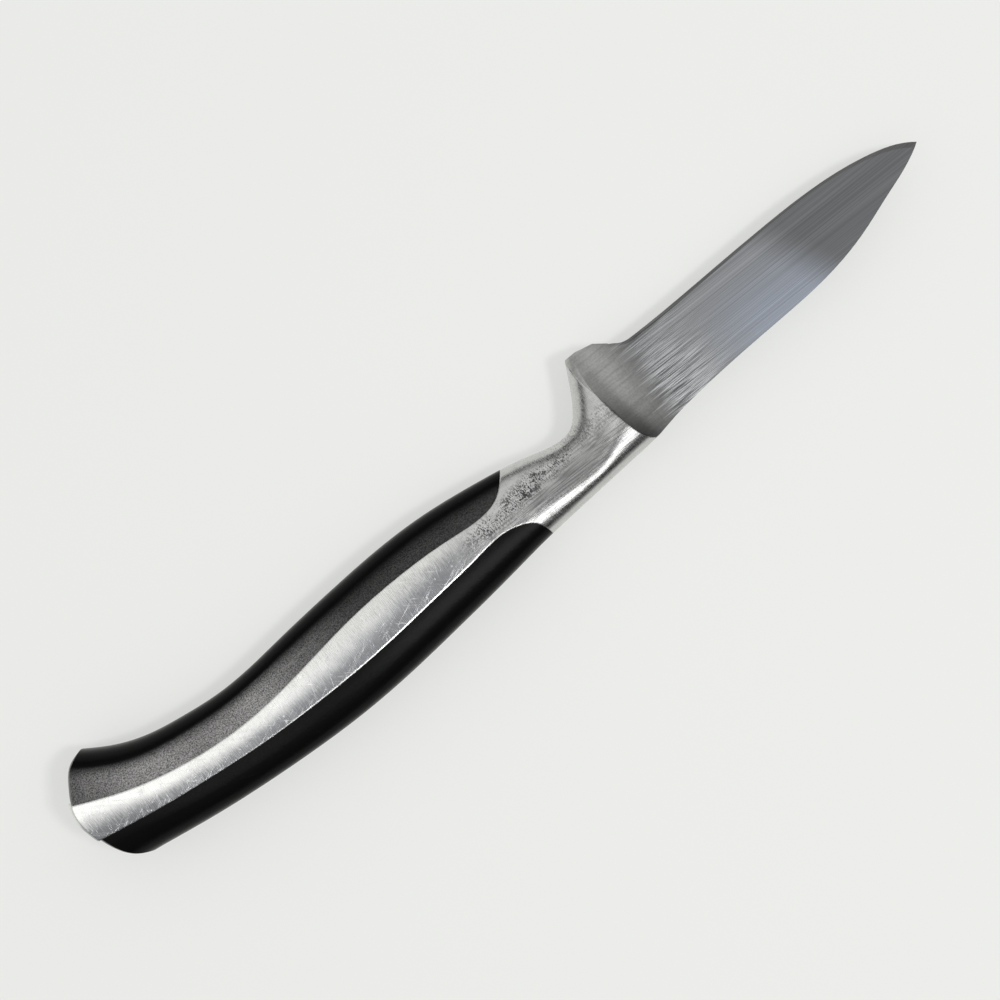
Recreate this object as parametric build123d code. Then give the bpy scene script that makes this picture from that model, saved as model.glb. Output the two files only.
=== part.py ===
from build123d import *
import math
import os

# Paring knife, lying on its side. The butt points to -X, the tip to +X and the cutting edge to +Y.
# While it is drawn, X = 0 is the rear corner of the finger guard, Y = 0 the height of the tip,
# and Z = 0 the middle plane, in which both sides mirror.
# At the end it is set down on Z = 0, with the origin under the middle of its box.

# Handle, in millimetres
handle_length = 126.5
handle_height = 23.7
handle_thickness = 16.6
neck_thickness = 10.4
section_power = 2.3
egg_share = 0.36
egg_start_share = 0.74

# Bolster: finger notch behind the guard, the guard's flat lower face, the heel and the spine corner
bolster_thickness = 11.4
notch_length = 9.6
notch_depth = 11.4
guard_reach = 9.0
guard_face_length = 2.4
guard_toe_length = 6.0
guard_toe_reach = 8.3
heel_length = 10.8
heel_round = 1.5
heel_reach = 1.6
spine_corner_length = 5.8
spine_corner_drop = 13.05
spine_reach = 4.4
spine_rear_length = 8.0
spine_rear_drop = 14.6
side_allowance = 0.35

# Hollow ground in front of the bolster, at the spine and at the guard
cove_foot = 8.3
cove_foot_at_guard = 9.0
cove_radius = 5.5
cove_radius_at_guard = 13.0
cove_sink = 0.03
cove_margin = 1.5

# Blade: half its thickness along the edge and at the heel of the spine, and the sharpened bevel
blade_length = 78.2
blade_height = 16.0
edge_half_thickness = 0.22
spine_half_thickness = 0.85
tip_loss = 0.03
blade_root = 4.5
bevel_angle = 17.0
bevel_land = 0.03
bevel_height = 0.6
bevel_reach = 0.4
bevel_run_out = 2.5
bevel_lift = 1.6

# Joint between the forged blade and the handle core
tang_length = 14.0
tang_height = 5.0
tang_thickness = 4.4
tang_corner = 0.8
tang_drop = 8.4
tang_root = 3.0
socket_clearance = 0.1

# Grips: lugs in the core's pockets at shares of the seams, and dowels through its web at shares of the handle
lug_length = 14.0
lug_width = 4.0
lug_depth = 1.2
lug_shares = (0.45, 0.8)
pocket_clearance = 0.08
band_proud = 0.5
butt_dome_radius = 20.0
dowel_diameter = 2.5
dowel_grip = 3.0
dowel_clearance = 0.05
dowel_end_gap = 0.3
dowel_shares = (0.2, 0.53)

# Drawing aids: how far tools run past what they cut, and how finely curves are followed
overrun = 14.0
handle_sections = 16
notch_sections = 20
section_points = 20
halvings = 40

# Outlines of the handle: share of its length from the butt, and share of its height from the tip's line
belly_shares = (
    (-0.016, 0.621),
    (0.078, 0.320),
    (0.134, 0.160),
    (0.202, 0.071),
    (0.292, 0.018),
    (0.404, 0.058),
    (0.517, 0.107),
    (0.607, 0.130),
    (0.697, 0.114),
    (0.787, 0.050),
    (0.870, -0.042),
)
spine_shares = (
    (-0.016, -0.617),
    (0.066, -0.651),
    (0.134, -0.707),
    (0.224, -0.768),
    (0.314, -0.808),
    (0.427, -0.832),
    (0.540, -0.808),
    (0.630, -0.763),
    (0.720, -0.712),
    (0.810, -0.653),
    (0.922, -0.606),
)
# Finger notch: shares of its length back from the guard's corner, and of its depth
notch_shares = (
    (0.0, 0.0),
    (0.22, 0.04),
    (0.40, 0.157),
    (0.61, 0.397),
    (0.87, 0.796),
    (1.0, 1.0),
    (1.13, 1.13),
    (1.5, 1.22),
    (2.3, 1.24),
)
# Seams between the steel band and the two grips, in the same shares as the outlines
belly_seam_shares = (
    (-0.007, 0.106),
    (0.045, -0.019),
    (0.103, -0.141),
    (0.170, -0.233),
    (0.257, -0.293),
    (0.323, -0.293),
    (0.411, -0.244),
    (0.501, -0.178),
    (0.611, -0.146),
    (0.699, -0.167),
    (0.758, -0.186),
    (0.786, -0.153),
    (0.804, -0.088),
    (0.820, 0.009),
    (0.830, 0.092),
)
spine_seam_shares = (
    (-0.007, -0.287),
    (0.045, -0.335),
    (0.125, -0.410),
    (0.213, -0.469),
    (0.301, -0.513),
    (0.411, -0.529),
    (0.522, -0.512),
    (0.633, -0.461),
    (0.721, -0.414),
    (0.764, -0.396),
    (0.792, -0.426),
    (0.815, -0.501),
    (0.825, -0.638),
    (0.826, -0.729),
)
# Rounded end of the butt, from above the hook to below the spine
butt_shares = (
    (0.096, 0.380),
    (0.066, 0.350),
    (0.045, 0.311),
    (0.023, 0.180),
    (0.009, 0.048),
    (0.004, -0.136),
    (0.012, -0.327),
    (0.023, -0.467),
    (0.042, -0.589),
    (0.066, -0.653),
    (0.096, -0.722),
)
# Half thickness: share of the handle's length, and share of the handle's thickness
thickness_shares = (
    (-0.016, 0.500),
    (0.12, 0.480),
    (0.30, 0.418),
    (0.42, 0.434),
    (0.55, 0.456),
    (0.70, 0.425),
    (0.82, 0.360),
)
# Cutting edge and spine of the blade: shares of the way to the tip, and of its height from the tip's line
edge_shares = (
    (0.0, 0.296),
    (0.139, 0.299),
    (0.313, 0.323),
    (0.486, 0.343),
    (0.644, 0.343),
    (0.775, 0.302),
    (0.876, 0.226),
    (0.949, 0.128),
    (1.0, 0.0),
)
blade_spine_shares = (
    (1.0, 0.0),
    (0.922, -0.164),
    (0.838, -0.287),
    (0.740, -0.432),
    (0.642, -0.541),
    (0.539, -0.606),
    (0.336, -0.653),
    (0.168, -0.691),
    (0.0, -0.764),
)
# Ridge between the ground bolster front and the polished neck: shares of the spine corner's length and drop
ridge_shares = (
    (-0.081, 0.98),
    (-0.081, 0.49),
    (-0.054, 0.245),
    (0.054, 0.0),
    (0.216, -0.454),
    (0.35, -0.736),
    (0.566, -0.907),
    (0.89, -1.079),
)


def along_handle(shares, back=0):
    """Points of a table of handle shares, measured forward from the butt and moved back if asked."""
    return [((along - 1) * handle_length - back, up * handle_height) for along, up in shares]


def along_blade(shares, start):
    """Points of a table of blade shares, measured from where that side of the blade starts to the tip."""
    return [(start + along * (blade_length - start), up * blade_height) for along, up in shares]


def height_at(curve, x):
    """Height of a curve that runs forward in X, at one X."""
    low, high = 0.0, 1.0
    for _ in range(halvings):
        middle = (low + high) / 2
        if (curve @ middle).X < x:
            low = middle
        else:
            high = middle
    return (curve @ low).Y


def joined(*lines):
    """One wire through lines that follow each other."""
    return Wire([edge for line in lines for edge in line.edges()])


def both_ways(face, half_depth=overrun):
    """Prism of a plan face, to both sides of the middle plane."""
    return extrude(face, amount=half_depth, both=True)


# Curves that the handle's sections follow
neck_start = -notch_length
neck_belly = guard_reach - notch_depth
notch_points = [(neck_start + along * notch_length, neck_belly + up * notch_depth) for along, up in notch_shares]
front_end = notch_points[-1][0]
belly_curve = Spline(along_handle(belly_shares) + notch_points)

spine_front = (spine_corner_length, -spine_corner_drop - side_allowance)
spine_curve = Spline(along_handle(spine_shares) + [spine_front, (front_end, spine_front[1])])

thickness_points = [((along - 1) * handle_length, part * handle_thickness) for along, part in thickness_shares]
thickness_points += [(neck_start, neck_thickness / 2), (0, bolster_thickness / 2), (front_end, bolster_thickness / 2)]
thickness_curve = Spline(thickness_points)

# Seams and ridge, drawn in plan
belly_seam = Spline(along_handle(belly_seam_shares))
spine_seam = Spline(along_handle(spine_seam_shares))
ridge = Spline([(along * spine_corner_length, up * spine_corner_drop) for along, up in ridge_shares])
edge_curve = Spline(along_blade(edge_shares, heel_length + heel_reach))
blade_spine_curve = Spline(along_blade(blade_spine_shares, spine_corner_length + spine_reach))
heel_end = edge_curve @ 0
spine_heel = blade_spine_curve @ 1
guard_toe = Vector(guard_toe_length, guard_toe_reach)
heel_corner = Vector(heel_length, heel_end.Y)
heel_start = heel_corner + (guard_toe - heel_corner).normalized() * heel_round
grind_fall = (spine_half_thickness - edge_half_thickness) / (heel_end.Y - spine_heel.Y)
tip_fall = tip_loss / blade_length


def egg_at(x):
    """Narrowing towards the belly: none along the grip, full from the guard on."""
    start = (egg_start_share - 1) * handle_length
    run = min(max((x - start) / -start, 0), 1)
    return egg_share * run * run * (3 - 2 * run)


def handle_section(x):
    """Closed cross-section at one X: a rounded oblong that narrows towards the belly near the guard."""
    top, bottom = height_at(belly_curve, x), height_at(spine_curve, x)
    middle, half_height = (top + bottom) / 2, (top - bottom) / 2
    half_thickness, egg = height_at(thickness_curve, x), egg_at(x)
    around = []
    for step in range(section_points):
        angle = 2 * math.pi * step / section_points
        up = math.copysign(abs(math.cos(angle)) ** (2 / section_power), math.cos(angle))
        out = math.copysign(abs(math.sin(angle)) ** (2 / section_power), math.sin(angle))
        around.append((x, middle + up * half_height, out * half_thickness * (1 - egg * up)))
    even = [step / section_points for step in range(section_points + 1)]
    return Wire([Edge.make_spline(around, periodic=True, parameters=even)])


def blade_side(x, y):
    """Height of the blade's flat ground side above the middle plane, at one place in plan."""
    return edge_half_thickness + grind_fall * (heel_end.Y - y) - tip_fall * (x - heel_end.X)


def butt_curve(back=0):
    """Rounded end of the butt in plan, from above the hook to below the spine."""
    return Spline(along_handle(butt_shares, back))


def knife_plan(back=0):
    """Outline of the whole knife in plan, left wide beside the grip, which its own sections shape."""
    butt = butt_curve(back)
    guard = Polyline(butt @ 0, (0, guard_reach), (guard_face_length, guard_reach), guard_toe, heel_start)
    heel = Bezier(heel_start, heel_corner, heel_end)
    bolster_spine = Polyline(
        spine_heel,
        (spine_corner_length, -spine_corner_drop),
        (-spine_rear_length, -spine_rear_drop),
        (-spine_rear_length, -handle_height),
        ((butt @ 1).X, -handle_height),
        butt @ 1,
    )
    return Face(joined(butt, guard, heel, edge_curve, blade_spine_curve, bolster_spine))


def butt_cutter(back=0):
    """Everything behind the butt, whose end is domed from one side of the knife to the other."""
    curve = butt_curve(back)
    drop = butt_dome_radius - math.sqrt(butt_dome_radius ** 2 - (handle_thickness / 2) ** 2)
    low, high = (-handle_thickness / 2, -drop), (handle_thickness / 2, -drop)
    dome = ThreePointArc(low, (0, 0), high)
    beyond = Polyline(high, (handle_thickness, -drop), (handle_thickness, overrun), (-handle_thickness, overrun),
                      (-handle_thickness, -drop), low)
    across = Plane(origin=curve @ 0, x_dir=(0, 0, 1), z_dir=curve % 0)
    return sweep(across * Face(joined(dome, beyond)), path=curve)


def grip_body():
    """Outer form of handle, neck and bolster, lofted from behind the butt to past the guard."""
    start = (belly_curve @ 0).X
    places = [start + (neck_start - start) * step / handle_sections for step in range(handle_sections)]
    places += [neck_start + (front_end - neck_start) * step / notch_sections for step in range(notch_sections + 1)]
    return Solid.make_loft([handle_section(x) for x in places])


def cove_profile(y):
    """Outline of the hollow ground in front of the bolster, in the plane across at one Y."""
    share = (y + spine_corner_drop) / (guard_reach + spine_corner_drop)
    foot = cove_foot + share * (cove_foot_at_guard - cove_foot)
    radius = cove_radius + share * (cove_radius_at_guard - cove_radius)
    low = blade_side(foot, y) - cove_sink
    rear, rise = foot - radius, low + radius
    centre = Plane(origin=(foot, y, rise), x_dir=(1, 0, 0), z_dir=(0, -1, 0))
    hollow = centre * CenterArc((0, 0), radius, 180, 90)
    front = front_end + overrun
    sides = Polyline((foot, y, low), (front, y, low), (front, y, rise + overrun), (rear, y, rise + overrun), (rear, y, rise))
    return joined(hollow, sides)


def cove_cutter():
    """Everything that grinding takes off one side in front of the bolster."""
    ends = (-spine_corner_drop - cove_margin, guard_reach + cove_margin)
    return Solid.make_loft([cove_profile(y) for y in ends], ruled=True)


def flat_blade():
    """Blade blank with both sides ground flat, before its edge is sharpened."""
    root = Pos(blade_root + blade_length, 0) * Rectangle(2 * blade_length, 2 * handle_height)
    blank = both_ways(knife_plan() & root)
    side = Plane(origin=(heel_end.X, heel_end.Y, edge_half_thickness), z_dir=(tip_fall, grind_fall, 1))
    far_side = Plane(origin=(heel_end.X, heel_end.Y, -edge_half_thickness), z_dir=(tip_fall, grind_fall, -1))
    return split(split(blank, bisect_by=side, keep=Keep.BOTTOM), bisect_by=far_side, keep=Keep.BOTTOM)


def bevel_cutter():
    """Sharpening of one side of the edge: a wedge swept along it, running out at the heel."""
    run_out = heel_corner + Vector(-bevel_run_out, bevel_lift)
    ahead = edge_curve @ 1 + (edge_curve % 1) * bevel_run_out
    path = joined(Bezier(run_out, heel_corner, heel_end), edge_curve, Line(edge_curve @ 1, ahead))
    slope = math.tan(math.radians(bevel_angle))
    inward = (bevel_height - bevel_land) / slope
    low = bevel_land - slope * bevel_reach
    across = Plane(origin=path @ 0, x_dir=(0, 0, 1), z_dir=path % 0)
    wedge = Polyline((low, -bevel_reach), (bevel_height, inward), (bevel_height, -bevel_reach), close=True)
    return sweep(across * make_face(wedge), path=path)


def tang(gap=0):
    """Tenon behind the bolster that sits in the neck, or with a gap the socket for it."""
    outline = Plane.YZ.offset(-tang_length - gap) * Pos(-tang_drop, 0)
    section = RectangleRounded(tang_height + 2 * gap, tang_thickness + 2 * gap, tang_corner + gap)
    return extrude(outline * section, amount=tang_length + gap + tang_root)


def beside_seam(seam, side):
    """Plan of what lies on the belly side (1) or spine side (-1) of a seam."""
    rear, front = seam @ 0, seam @ 1
    far = side * handle_height
    return Face(joined(seam, Polyline(front, (front.X, far), (rear.X, far), rear)))


def lugs(seam, gap=0):
    """Lugs of a grip that lie in the core's pockets, or with a gap the pockets themselves."""
    places = [Plane(origin=seam @ share, x_dir=seam % share, z_dir=(0, 0, 1)) for share in lug_shares]
    outline = Rectangle(lug_length + 2 * gap, 2 * (lug_depth + gap))
    return [both_ways(place * outline, lug_width / 2 + gap) for place in places]


def dowel_at(share, gap=0, end_gap=0):
    """One dowel across the core's web, or with gaps the hole for it."""
    x = (share - 1) * handle_length
    low, high = height_at(spine_seam, x) - dowel_grip - end_gap, height_at(belly_seam, x) + dowel_grip + end_gap
    across = Plane(origin=(x, low, 0), z_dir=(0, 1, 0))
    return extrude(across * Circle(dowel_diameter / 2 + gap), amount=high - low)


def build_knife():
    """All pieces of the knife, by name, where they are drawn."""
    cove = cove_cutter()
    butt = butt_cutter(band_proud)
    form = (grip_body() & both_ways(knife_plan(band_proud))) - [cove, mirror(cove, about=Plane.XY), butt]

    ahead = Polyline(ridge @ 1, (overrun, (ridge @ 1).Y), (overrun, (ridge @ 0).Y), ridge @ 0)
    front = both_ways(Face(joined(ridge, ahead)))
    bevel = bevel_cutter()
    blade = (form & front) + flat_blade() + tang() - [bevel, mirror(bevel, about=Plane.XY)]

    holes = [dowel_at(share, dowel_clearance, dowel_end_gap) for share in dowel_shares]
    grip_end = butt_cutter()
    grips, sides, pockets = [], [], []
    for seam, side in ((belly_seam, 1), (spine_seam, -1)):
        beside = both_ways(beside_seam(seam, side))
        grips.append((form & beside) + lugs(seam) - (holes + [grip_end]))
        sides.append(beside)
        pockets += lugs(seam, pocket_clearance)
    core = form - ([front, tang(socket_clearance)] + sides + pockets + holes)
    dowels = Compound([dowel_at(share).solid() for share in dowel_shares])
    return {
        "blade": blade,
        "handle_core": core,
        "belly_grip": grips[0],
        "spine_grip": grips[1],
        "grip_dowels": dowels,
    }


pieces = build_knife()
whole = Compound([solid for piece in pieces.values() for solid in piece.solids()]).bounding_box()
set_down = Location((-whole.center().X, -whole.center().Y, -whole.min.Z))
os.makedirs("parts", exist_ok=True)
for name, piece in pieces.items():
    export_step(piece.moved(set_down), "parts/" + name + ".step")
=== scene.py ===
import bpy
import math
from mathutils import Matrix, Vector

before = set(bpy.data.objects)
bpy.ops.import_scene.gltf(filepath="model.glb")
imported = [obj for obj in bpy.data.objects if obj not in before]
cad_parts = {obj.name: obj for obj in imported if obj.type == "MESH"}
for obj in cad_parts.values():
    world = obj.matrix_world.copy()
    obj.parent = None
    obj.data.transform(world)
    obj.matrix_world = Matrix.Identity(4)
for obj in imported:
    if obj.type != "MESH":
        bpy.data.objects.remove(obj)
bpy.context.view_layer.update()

# Blade, bolster and guard: one forging of stainless steel, with its tang hidden in the handle core's socket.
# Its sides are ground flat lengthwise and the hollow behind them is matt, with painted shade: dark towards
# the spine and in the valley where it meets the blade, lighter on the guard. The edge bevel is painted as a
# dark shade line. Fine light streaks start unevenly where the hollow runs out, and the last third of the
# blade looks darker.
mm = 0.001


class Value:
    """A shader value: wraps one output socket, so that formulas and nodes read as plain Python."""

    def __init__(self, tree, socket=None):
        self.tree = tree
        self.socket = socket

    def node(self, kind, settings=None, output=0, **inputs):
        """Adds a node, sets its settings and then its inputs, and returns one of its outputs."""
        made = self.tree.nodes.new(kind)
        for name, value in (settings or {}).items():
            setattr(made, name, value)
        fill(made, **inputs)
        return Value(self.tree, made.outputs[output])

    def output(self, name):
        """Another output of the node that this value comes from."""
        return Value(self.tree, self.socket.node.outputs[name])

    def maths(self, operation, *others):
        inputs = {"in" + str(number): value for number, value in enumerate((self, *others))}
        return self.node("ShaderNodeMath", {"operation": operation}, **inputs)

    def __add__(self, other):
        return self.maths("ADD", other)

    def __sub__(self, other):
        return self.maths("SUBTRACT", other)

    def __rsub__(self, other):
        return self.node("ShaderNodeMath", {"operation": "SUBTRACT"}, in0=other, in1=self)

    def __mul__(self, other):
        return self.maths("MULTIPLY", other)

    def __abs__(self):
        return self.maths("ABSOLUTE")

    __radd__ = __add__
    __rmul__ = __mul__

    def between(self, low, high):
        """0 below low, 1 above high, smooth between."""
        smooth = {"interpolation_type": "SMOOTHSTEP"}
        return self.node("ShaderNodeMapRange", smooth, Value=self, From_Min=low, From_Max=high)

    def mixed(self, low, high):
        """Colour low where this value is 0 and colour high where it is 1."""
        return self.node("ShaderNodeMix", {"data_type": "RGBA"}, 2, in0=self, in6=low, in7=high)

    def lit(self, light):
        """This colour, as many times as bright as light says."""
        return self.node("ShaderNodeVectorMath", {"operation": "SCALE"}, in0=self, Scale=light)

    def bump(self, strength, depth, **under):
        """Normals of a surface that is this value times depth high, on top of any normals under it."""
        return self.node("ShaderNodeBump", Height=self, Strength=strength, Distance=depth, **under)

    def part(self, axis):
        """One coordinate of this place or direction."""
        return self.node("ShaderNodeSeparateXYZ", output=axis, Vector=self)

    def stretched(self, *scale):
        """This place with each axis scaled."""
        return self.node("ShaderNodeVectorMath", {"operation": "MULTIPLY"}, in0=self, in1=scale)

    def noise(self, scale=1, detail=8):
        return self.node("ShaderNodeTexNoise", Vector=self, Scale=scale, Detail=detail, Distortion=0)

    def brushing(self, *scale, low=0.30, high=0.70, detail=8):
        """Fine lines along the axis with the smallest scale: 0 in a groove, 1 on a ridge."""
        return self.stretched(*scale).noise(detail=detail).between(low, high)

    def scratches(self, turn, length, gap, amount):
        """Thin nearly straight scratches of one direction: 1 in a scratch, 0 beside it."""
        turned = self.node("ShaderNodeVectorRotate", {"rotation_type": "Z_AXIS"}, Vector=self, Angle=turn)
        line = abs(turned.stretched(1 / length, 1 / gap, 0).noise(detail=0) - 0.5).between(0, 0.02)
        patch = turned.stretched(0.7 / length, 0.4 / gap, 0).noise(detail=1)
        return (1 - line) * patch.between(1 - amount, 1.02 - amount)


def fill(node, **inputs):
    """Sets a node's inputs, called by name or by place as in0, in1 and so on. A Value is linked."""
    for name, value in inputs.items():
        by_place = name.startswith("in") and name[2:].isdigit()
        target = node.inputs[int(name[2:]) if by_place else name.replace("_", " ")]
        if isinstance(value, Value):
            node.id_data.links.new(value.socket, target)
        else:
            target.default_value = value


def new_finish(name, piece):
    """New material on a CAD piece. Returns its shader and the place that its patterns follow."""
    material = bpy.data.materials.new(name)
    material.use_nodes = True
    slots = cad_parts[piece].data.materials
    slots.clear()
    slots.append(material)
    place = Value(material.node_tree).node("ShaderNodeNewGeometry", output="Position")
    return material.node_tree.nodes["Principled BSDF"], place


def grey(level):
    return (level, level, level, 1)


start_grey = (0.31, 0.315, 0.32, 1)
blue_grey = (0.345, 0.375, 0.43, 1)
far_grey = (0.185, 0.19, 0.195, 1)
# The next four greys are painted light and shade: light on the guard, shade towards the spine and in the
# valley, and a dark line on the edge bevel.
guard_painted_light = (0.55, 0.55, 0.535, 1)
hollow_spine_shade = grey(0.12)
valley_painted_shade = (0.22, 0.22, 0.215, 1)
bevel_painted_shade = grey(0.16)
line_depth = 0.006 * mm
raggedness = 14 * mm

# Where each zone fades in or out along the knife, or across it for those named _up
guard_fade = 25 * mm, 36 * mm
valley_fade = 27 * mm, 33 * mm
matt_end = 28 * mm, 37 * mm
hollow_end = 31.5 * mm, 37.5 * mm
bevel_start = 33 * mm, 36 * mm
valley_end = 36 * mm, 43 * mm
streaks_end = 36 * mm, 54 * mm
blue_start = 42 * mm, 60 * mm
far_start = 67 * mm, 77 * mm
far_slant = 0.45
guard_up = -9 * mm, 4 * mm
blue_end_up = -2 * mm, 9 * mm
streaks_end_up = -2 * mm, 8 * mm
bevel_slope = 0.15, 0.25

surface, place = new_finish("blade_steel", "blade")
along, up = place.part(0), place.part(1)

ragged = along + (place.stretched(0, 900, 0).noise() - 0.5) * raggedness
in_hollow = 1 - ragged.between(*hollow_end)
in_valley_shade = ragged.between(*valley_fade) * (1 - ragged.between(*valley_end))
in_streaks = (1 - along.between(*streaks_end)) * (1 - in_hollow)
in_blue = along.between(*blue_start) * (1 - up.between(*blue_end_up) * 0.8)
in_far_third = (along + up * far_slant).between(*far_start)
on_bevel = place.output("True Normal").part(1).between(*bevel_slope) * along.between(*bevel_start)

steel = in_far_third.mixed(in_blue.mixed(start_grey, blue_grey), far_grey)
# Painted light and shade across the hollow: dark towards the spine, light on the guard, then a darker painted
# shade in the valley.
hollow = up.between(*guard_up).mixed(hollow_spine_shade, guard_painted_light)
hollow = along.between(*guard_fade).mixed(hollow, valley_painted_shade)
# The edge bevel is painted dark, a painted shade line along the edge.
steel = on_bevel.mixed(in_hollow.mixed(steel, hollow), bevel_painted_shade)

streaks = place.brushing(150, 9000, 300, low=0.45, high=0.60)
lines = place.brushing(16, 6400, 400)
rubbing = place.brushing(2600, 2600, 600)
broad = place.stretched(9, 620, 100).noise(detail=2)
light = 0.58 + lines * (0.36 - in_hollow * 0.20) + in_hollow * (0.03 + rubbing * 0.16) + broad * 0.36
# Painted shade: the valley where the hollow meets the blade is darkened by a fifth.
light = light * (1 - in_valley_shade * 0.20)
light = light + in_streaks * (streaks * 1.5 - 0.30) * (1 - up.between(*streaks_end_up) * 0.55)
height = lines * (0.7 - in_hollow * 0.45) + in_hollow * rubbing * 0.4 + in_streaks * streaks
matt = (1 - along.between(*matt_end)) * 0.20 + in_streaks * streaks * 0.10 + on_bevel * 0.2
fill(surface, Base_Color=steel.lit(light), Metallic=1, Roughness=0.26 + matt)
fill(surface, Normal=height.bump(0.4, line_depth))

# Handle core: one piece of the same steel, a neck behind the guard and then a band between the grips.
# The neck is polished and has short dark flecks worn along its middle, with a painted highlight across one
# side, painted shade across the other and a painted reflection on its spine-facing side. The band is brushed
# across, with thin scratches and rounded edges. It has a painted highlight where it faces the belly side
# towards the butt, and a painted highlight along the rounded edge beside the spine grip.
band_dark = (0.24, 0.245, 0.255, 1)
band_painted_highlight = (0.80, 0.80, 0.77, 1)
edge_painted_highlight = (0.95, 0.95, 0.94, 1)
neck_painted_shade = grey(0.16)
neck_painted_highlight = (0.66, 0.66, 0.65, 1)
neck_spine_reflection = (0.62, 0.62, 0.61, 1)
neck_lines = (0.42, 0.42, 0.41, 1)
worn_black = grey(0.06)
scratch_white = grey(0.90)
edge_radius = 0.5 * mm
brush_depth = 0.008 * mm
wander = 4 * mm

# Where each zone fades in or out along the knife, or across it for those named _up or _out
edge_highlight_start = -80 * mm, -50 * mm
neck_start = -20 * mm, -6 * mm
wear_end = 8 * mm, 22 * mm
worn_out = 0.6 * mm, 3.4 * mm
worn_below = 0.6 * mm
worn_slant = 0.11
light_slant = 0.1
light_up = -5 * mm, 4 * mm

surface, place = new_finish("handle_steel", "handle_core")
along, up = place.part(0), place.part(1)
to_belly = place.output("Normal").part(1)
to_spine = to_belly * -1
on_neck = along.between(*neck_start)
from_middle = abs(up - along * worn_slant + worn_below)
in_middle = (1 - from_middle.between(*worn_out)) * on_neck

across = place.brushing(6000, 500, 300)
lengthwise = place.brushing(150, 6400, 2000, low=0.32, high=0.68, detail=6)
flecks = place.stretched(6400, 2300, 900).noise()
cloud = place.noise(300, 6)
worn = (1 - (flecks + (cloud - 0.5) * 0.6 + 0.04 * (1 - in_middle)).between(0.42, 0.52)) * in_middle
worn = worn * (1 - along.between(*wear_end) * 0.5)
marks = place.scratches(0.6, 9 * mm, 0.30 * mm, 0.47) + place.scratches(-0.4, 8 * mm, 0.34 * mm, 0.46)
marks = marks + place.scratches(1.9, 8 * mm, 0.30 * mm, 0.45)
rounded = place.node("ShaderNodeBevel", {"samples": 8}, Radius=edge_radius)
# Painted highlight along the rounded edge beside the spine grip, where the rounded normals lean towards the
# spine.
on_lit_edge = (to_belly - rounded.part(1)).between(0.04, 0.22) * along.between(*edge_highlight_start)

# Painted highlight where the band faces the belly side, strongest towards the butt.
belly_facing_highlight = (to_belly + (across + cloud - 1) * 0.05 - along * 1.5 - 0.11).between(-0.12, 0.10)
band_brush_and_light = (marks * 0.55).mixed(belly_facing_highlight.mixed(band_dark, band_painted_highlight), scratch_white)
band_brush_and_light = on_lit_edge.mixed(band_brush_and_light, edge_painted_highlight)
# Painted highlight on one side of the neck and painted shade on the other, with a wavy border along it.
neck_lit_side = (up - along * light_slant + lengthwise * wander).between(*light_up)
neck_polish_and_light = neck_lit_side.mixed(neck_painted_shade, neck_painted_highlight)
# Painted reflection where the neck faces the spine side.
neck_polish_and_light = to_spine.between(0.70, 0.85).mixed(neck_polish_and_light, neck_spine_reflection)
neck_polish_and_light = (lengthwise * 0.45 * (1 - in_middle)).mixed(neck_polish_and_light, neck_lines)
steel = worn.mixed(on_neck.mixed(band_brush_and_light, neck_polish_and_light), worn_black)
height = across * (1 - on_neck) * 0.8 + lengthwise * on_neck * 0.9 - worn + marks
matt = across * 0.12 + worn * 0.2
fill(surface, Base_Color=steel, Metallic=1, Roughness=0.20 + matt)
fill(surface, Normal=height.bump(0.6, brush_depth, Normal=rounded))

# Grips: two black mouldings with a fine grain, held to the core's web by lugs and dowels. A grey sheen is
# painted on the belly grip where it faces up, beside the band and mostly at the rear. The spine grip gets
# almost none.
sheen_facing = {"belly_grip": (0.78, 0.96), "spine_grip": (0.90, 1.0)}
sheen_grey = {"belly_grip": 0.40, "spine_grip": 0.012}
clean_black = grey(0.003)
grain_depth = 0.010 * mm
sheen_end = -66 * mm, -32 * mm
butt_fade = -103 * mm, -84 * mm

for name in sheen_facing:
    surface, place = new_finish(name + "_black", name)
    along = place.part(0)
    at_rear = 1 - along.between(*sheen_end) * 0.82
    off_butt = 0.3 + along.between(*butt_fade) * 0.7
    facing_up = place.output("Normal").part(2).between(*sheen_facing[name])
    # Painted sheen where the grip faces up, mostly at the rear.
    painted_sheen = facing_up * (0.6 + place.noise(90, 3) * 0.8) * at_rear * off_butt
    grain = place.noise(4600, 6).between(0.30, 0.70)
    marks = place.scratches(0.4, 4 * mm, 0.2 * mm, 0.36)
    level = sheen_grey[name]
    sheen_colour = (level, level * 0.98, level * 0.97, 1)
    black = (painted_sheen * (0.15 + grain * 0.85)).mixed(clean_black, sheen_colour)
    height = grain + marks * 0.6
    fill(surface, Base_Color=black, Roughness=0.24 + painted_sheen * 0.25, Normal=height.bump(0.6, grain_depth))
    fill(surface, Specular_IOR_Level=0.05)

# Dowels: two plain pins of drawn steel across the core's web.
# They reach into both grips, which hide them.
surface, place = new_finish("dowel_steel", "grip_dowels")
fill(surface, Base_Color=grey(0.6), Metallic=1, Roughness=0.35 + place.noise(900, 3) * 0.1)

# Table: the plain pale surface that the knife lies on, which isn't part of it. The camera and reflections see
# mostly its own even colour, with less than half of the shadow left.
table_paint = (0.90, 0.905, 0.88, 1)
table_seen = (0.84, 0.85, 0.825, 1)
evenness = 0.6

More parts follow.
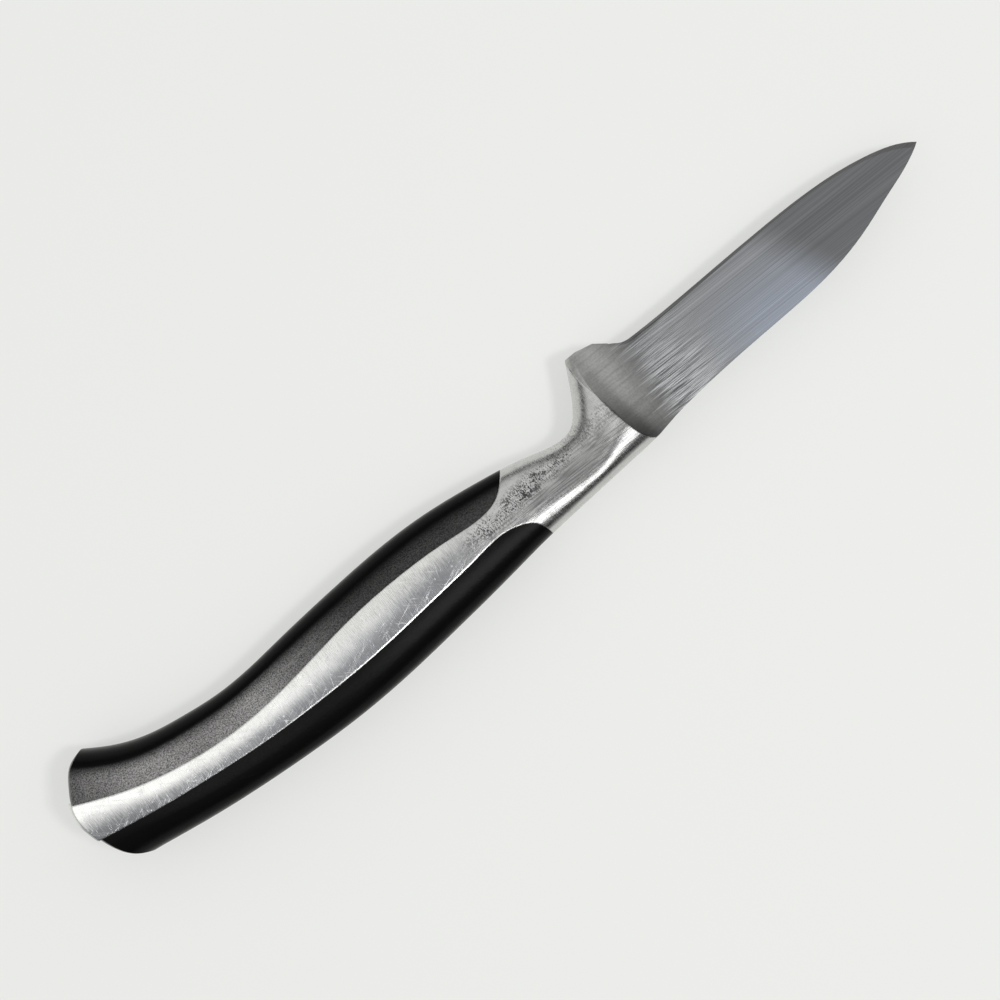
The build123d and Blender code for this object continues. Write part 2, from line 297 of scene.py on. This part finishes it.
bpy.ops.mesh.primitive_plane_add(size=3)
table = bpy.context.object
table.name = "table"
table.data.materials.append(bpy.data.materials.new("table"))
table.data.materials[0].use_nodes = True
tree = table.data.materials[0].node_tree
fill(tree.nodes["Principled BSDF"], Base_Color=table_paint, Roughness=0.9, Specular_IOR_Level=0.1)
painted = Value(tree, tree.nodes["Principled BSDF"].outputs[0])
plain = painted.node("ShaderNodeEmission", Color=table_seen, Strength=1)
ray = painted.node("ShaderNodeLightPath", output="Is Camera Ray")
seen = ray + ray.output("Is Glossy Ray") + ray.output("Is Transmission Ray")
shown = painted.node("ShaderNodeMixShader", in0=seen * evenness, in1=painted, in2=plain)
fill(tree.nodes["Material Output"], Surface=shown)


# Lamps: a softbox on the spine side that the neck mirrors, and a weaker one over the butt for the band.
# A small one gives the diffuse light and the narrow shadow, and shows in no reflection.
def softbox(name, side, lean, size, radiance):
    """Area lamp over the knife, tipped from straight up towards +X by side and +Y by lean, in degrees."""
    width, depth = size
    reach = 0.9
    lamp = bpy.data.objects.new(name, bpy.data.lights.new(name, "AREA"))
    lamp.data.shape = "RECTANGLE"
    lamp.data.size = width
    lamp.data.size_y = depth
    lamp.data.energy = radiance * math.pi * width * depth
    tipped = Vector((math.tan(math.radians(side)), math.tan(math.radians(lean)), 1))
    lamp.location = tipped.normalized() * reach
    lamp.rotation_euler = lamp.location.to_track_quat("Z", "Y").to_euler()
    bpy.context.scene.collection.objects.link(lamp)
    return lamp


softbox("neck_softbox", 10, -39, (0.50, 0.44), 6.2).visible_diffuse = False
softbox("butt_softbox", -17, 0, (0.20, 0.42), 1.15).visible_diffuse = False
softbox("key_light", 17, -14, (0.12, 0.12), 56).visible_glossy = False

# Room: what the steel mirrors beside the lamps.
# It is dark near the horizon and soft grey above, a little darker on the spine side.
world = bpy.data.worlds.new("studio")
world.use_nodes = True
bpy.context.scene.world = world
sky = Value(world.node_tree).node("ShaderNodeTexCoord", output="Generated")
above = sky.part(2).between(0.10, 0.50) * (1 - (sky.part(1) * -1).between(0.25, 0.65) * 0.6)
fill(world.node_tree.nodes["Background"], Color=above.mixed(grey(0.02), grey(0.80)))

# Camera: straight above the knife and turned as in the photo, with the knife's middle a little off centre.
# field is how much of the knife's middle plane the picture spans.
field, distance = 190 * mm, 380 * mm
middle = Vector((-1.95 * mm, 1.3 * mm, 8.3 * mm))
photo_turn = math.atan2(-0.622, 0.783)

camera = bpy.data.objects.new("camera", bpy.data.cameras.new("camera"))
camera.location = middle + Vector((0, 0, distance))
camera.rotation_euler = (0, 0, photo_turn)
camera.data.angle = 2 * math.atan(field / 2 / distance)
camera.data.clip_start = 10 * mm
bpy.context.scene.collection.objects.link(camera)
bpy.context.scene.camera = camera
bpy.context.scene.view_settings.view_transform = "Standard"
